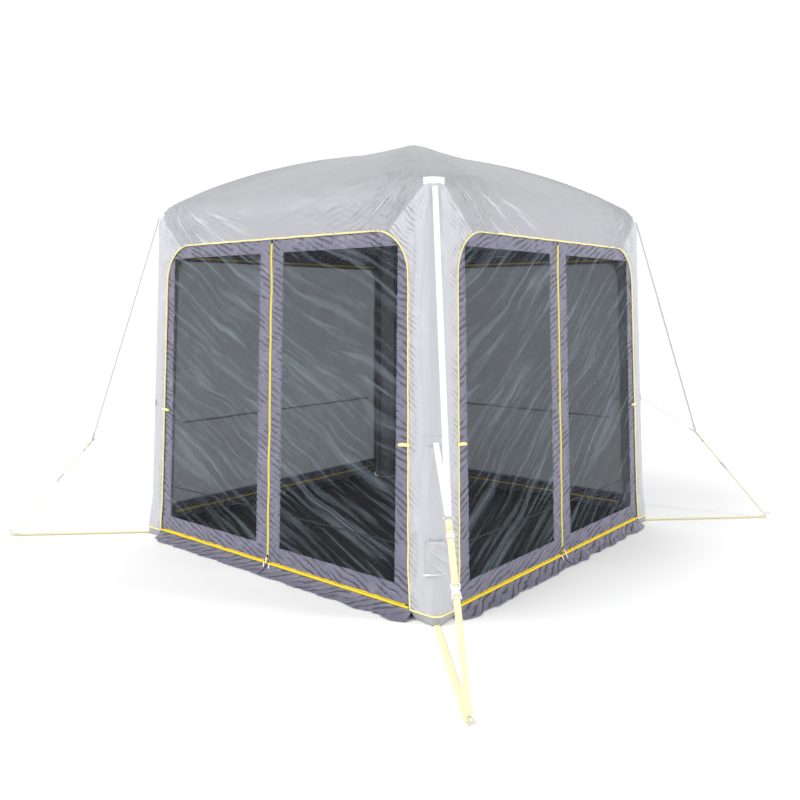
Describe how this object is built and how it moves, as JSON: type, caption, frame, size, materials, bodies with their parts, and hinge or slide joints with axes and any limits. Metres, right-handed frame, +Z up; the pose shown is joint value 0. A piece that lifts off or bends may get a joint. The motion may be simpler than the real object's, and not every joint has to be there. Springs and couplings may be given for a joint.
{
  "type": "screen house",
  "caption": "Square air-beam screen house with a domed roof, mesh door walls that unzip and fold back on the diagonal, plain walls, a groundsheet and staked guy lines.",
  "frame": {"origin": "centre of the footprint on the ground", "axes": "+Z up; the front mesh wall faces -Y and the right mesh wall faces +X"},
  "size_m": [3.9126, 3.9126, 2.69],
  "materials": {
    "roof_fabric": "coated polyester, satin",
    "leg_fabric": "coated polyester, satin",
    "beam_cover": "woven polyester beam cover",
    "foot_fabric": "heavy coated polyester",
    "mesh_panel": "fine black insect mesh with a purple-grey polyester border",
    "skirt_fabric": "thin purple-grey polyester, crumpled",
    "wall_fabric": "coated polyester, satin",
    "floor_fabric": "heavy coated floor fabric, matt",
    "zip_slider": "black painted die-cast",
    "white_webbing": "woven polyester webbing",
    "yellow_webbing": "woven polyester webbing",
    "buckle_plastic": "moulded acetal",
    "steel": "zinc-plated steel wire",
    "valve_plastic": "moulded nylon"
  },
  "bodies": {
    "root": {"air_beam_back_left": "beam_cover", "air_beam_back_right": "beam_cover", "air_beam_front_left": "beam_cover", "air_beam_front_right": "beam_cover", "back_wall": "wall_fabric", "foot_pocket_back_left": "foot_fabric", "foot_pocket_back_right": "foot_fabric", "foot_pocket_front_left": "foot_fabric", "foot_pocket_front_right": "foot_fabric", "front_door_frame": "mesh_panel", "front_skirt": "skirt_fabric", "ground_peg_back_left": "steel", "ground_peg_back_right": "steel", "ground_peg_front_left": "steel", "ground_peg_front_right": "steel", "ground_strap_back_left": "yellow_webbing", "ground_strap_back_right": "yellow_webbing", "ground_strap_front_left": "yellow_webbing", "ground_strap_front_right": "yellow_webbing", "groundsheet": "floor_fabric", "guy_ring_back_left": "steel", "guy_ring_back_right": "steel", "guy_ring_front_left": "steel", "guy_ring_front_right": "steel", "guy_strap_back_left": "yellow_webbing", "guy_strap_back_right": "yellow_webbing", "guy_strap_front_left": "yellow_webbing", "guy_strap_front_right": "yellow_webbing", "inflation_valve": "valve_plastic", "left_wall": "wall_fabric", "leg_sleeve_back_left": "leg_fabric", "leg_sleeve_back_right": "leg_fabric", "leg_sleeve_front_left": "leg_fabric", "leg_sleeve_front_right": "leg_fabric", "leg_strap_back_left": "white_webbing", "leg_strap_back_right": "white_webbing", "leg_strap_front_left": "white_webbing", "leg_strap_front_right": "white_webbing", "right_door_frame": "mesh_panel", "right_skirt": "skirt_fabric", "roof_canopy": "roof_fabric", "shoulder_strap_back_left": "white_webbing", "shoulder_strap_back_right": "white_webbing", "shoulder_strap_front_left": "white_webbing", "shoulder_strap_front_right": "white_webbing"},
    "front_leaf_left": {"front_door_leaf_left": "mesh_panel"},
    "front_foot_zip_left": {"front_foot_slider_left": "zip_slider"},
    "front_leaf_right": {"front_door_leaf_right": "mesh_panel"},
    "front_foot_zip_right": {"front_foot_slider_right": "zip_slider"},
    "front_centre_zip": {"front_centre_slider": "zip_slider"},
    "right_leaf_left": {"right_door_leaf_left": "mesh_panel"},
    "right_foot_zip_left": {"right_foot_slider_left": "zip_slider"},
    "right_leaf_right": {"right_door_leaf_right": "mesh_panel"},
    "right_foot_zip_right": {"right_foot_slider_right": "zip_slider"},
    "right_centre_zip": {"right_centre_slider": "zip_slider"},
    "buckle_front_right": {"guy_buckle_front_right": "buckle_plastic"},
    "buckle_back_right": {"guy_buckle_back_right": "buckle_plastic"},
    "buckle_back_left": {"guy_buckle_back_left": "buckle_plastic"},
    "buckle_front_left": {"guy_buckle_front_left": "buckle_plastic"},
    "valve_cap": {"valve_cap": "valve_plastic"}
  },
  "joints": [
    {"name": "front_fold_left", "type": "hinge", "parent": "root", "child": "front_leaf_left", "pos_m": [-1.085, -1.27897, 0.06491], "axis": [-0.4951, -0.0137, -0.8687], "range_deg": [0, 150]},
    {"name": "front_foot_zip_left_slide", "type": "slide", "parent": "root", "child": "front_foot_zip_left", "axis": [-1, 0, 0], "range_m": [0, 1.03]},
    {"name": "front_fold_right", "type": "hinge", "parent": "root", "child": "front_leaf_right", "pos_m": [1.085, -1.27897, 0.06491], "axis": [-0.4951, 0.0137, 0.8687], "range_deg": [0, 150]},
    {"name": "front_foot_zip_right_slide", "type": "slide", "parent": "root", "child": "front_foot_zip_right", "axis": [1, 0, 0], "range_m": [0, 1.03]},
    {"name": "front_centre_zip_slide", "type": "slide", "parent": "root", "child": "front_centre_zip", "axis": [0, 0.0158, 0.9999], "range_m": [0, 1.855]},
    {"name": "right_fold_left", "type": "hinge", "parent": "root", "child": "right_leaf_left", "pos_m": [1.27897, -1.085, 0.06491], "axis": [0.0137, -0.4951, -0.8687], "range_deg": [0, 150]},
    {"name": "right_foot_zip_left_slide", "type": "slide", "parent": "root", "child": "right_foot_zip_left", "axis": [0, -1, 0], "range_m": [0, 1.03]},
    {"name": "right_fold_right", "type": "hinge", "parent": "root", "child": "right_leaf_right", "pos_m": [1.27897, 1.085, 0.06491], "axis": [-0.0137, -0.4951, 0.8687], "range_deg": [0, 150]},
    {"name": "right_foot_zip_right_slide", "type": "slide", "parent": "root", "child": "right_foot_zip_right", "axis": [0, 1, 0], "range_m": [0, 1.03]},
    {"name": "right_centre_zip_slide", "type": "slide", "parent": "root", "child": "right_centre_zip", "axis": [-0.0158, 0, 0.9999], "range_m": [0, 1.855]},
    {"name": "guy_adjust_front_right", "type": "slide", "parent": "root", "child": "buckle_front_right", "axis": [-0.4601, 0.4601, 0.7594], "range_m": [-0.3, 0.18]},
    {"name": "guy_adjust_back_right", "type": "slide", "parent": "root", "child": "buckle_back_right", "axis": [-0.4601, -0.4601, 0.7594], "range_m": [-0.3, 0.18]},
    {"name": "guy_adjust_back_left", "type": "slide", "parent": "root", "child": "buckle_back_left", "axis": [0.4601, -0.4601, 0.7594], "range_m": [-0.3, 0.18]},
    {"name": "guy_adjust_front_left", "type": "slide", "parent": "root", "child": "buckle_front_left", "axis": [0.4601, 0.4601, 0.7594], "range_m": [-0.3, 0.18]},
    {"name": "valve_cap_turn", "type": "hinge", "parent": "root", "child": "valve_cap", "pos_m": [1.25562, -1.25562, 0.33], "axis": [0.7071, -0.7071, 0], "range_deg": [0, 90]}
  ],
  "couplings": [
    {"joint": "front_foot_zip_left_slide", "follows": "front_fold_left", "m_per_rad": 0.393},
    {"joint": "front_foot_zip_right_slide", "follows": "front_fold_left", "m_per_rad": 0.393},
    {"joint": "front_centre_zip_slide", "follows": "front_fold_left", "m_per_rad": 0.708},
    {"joint": "front_fold_right", "follows": "front_fold_left", "ratio": 1},
    {"joint": "right_foot_zip_left_slide", "follows": "right_fold_left", "m_per_rad": 0.393},
    {"joint": "right_foot_zip_right_slide", "follows": "right_fold_left", "m_per_rad": 0.393},
    {"joint": "right_centre_zip_slide", "follows": "right_fold_left", "m_per_rad": 0.708},
    {"joint": "right_fold_right", "follows": "right_fold_left", "ratio": 1}
  ]
}
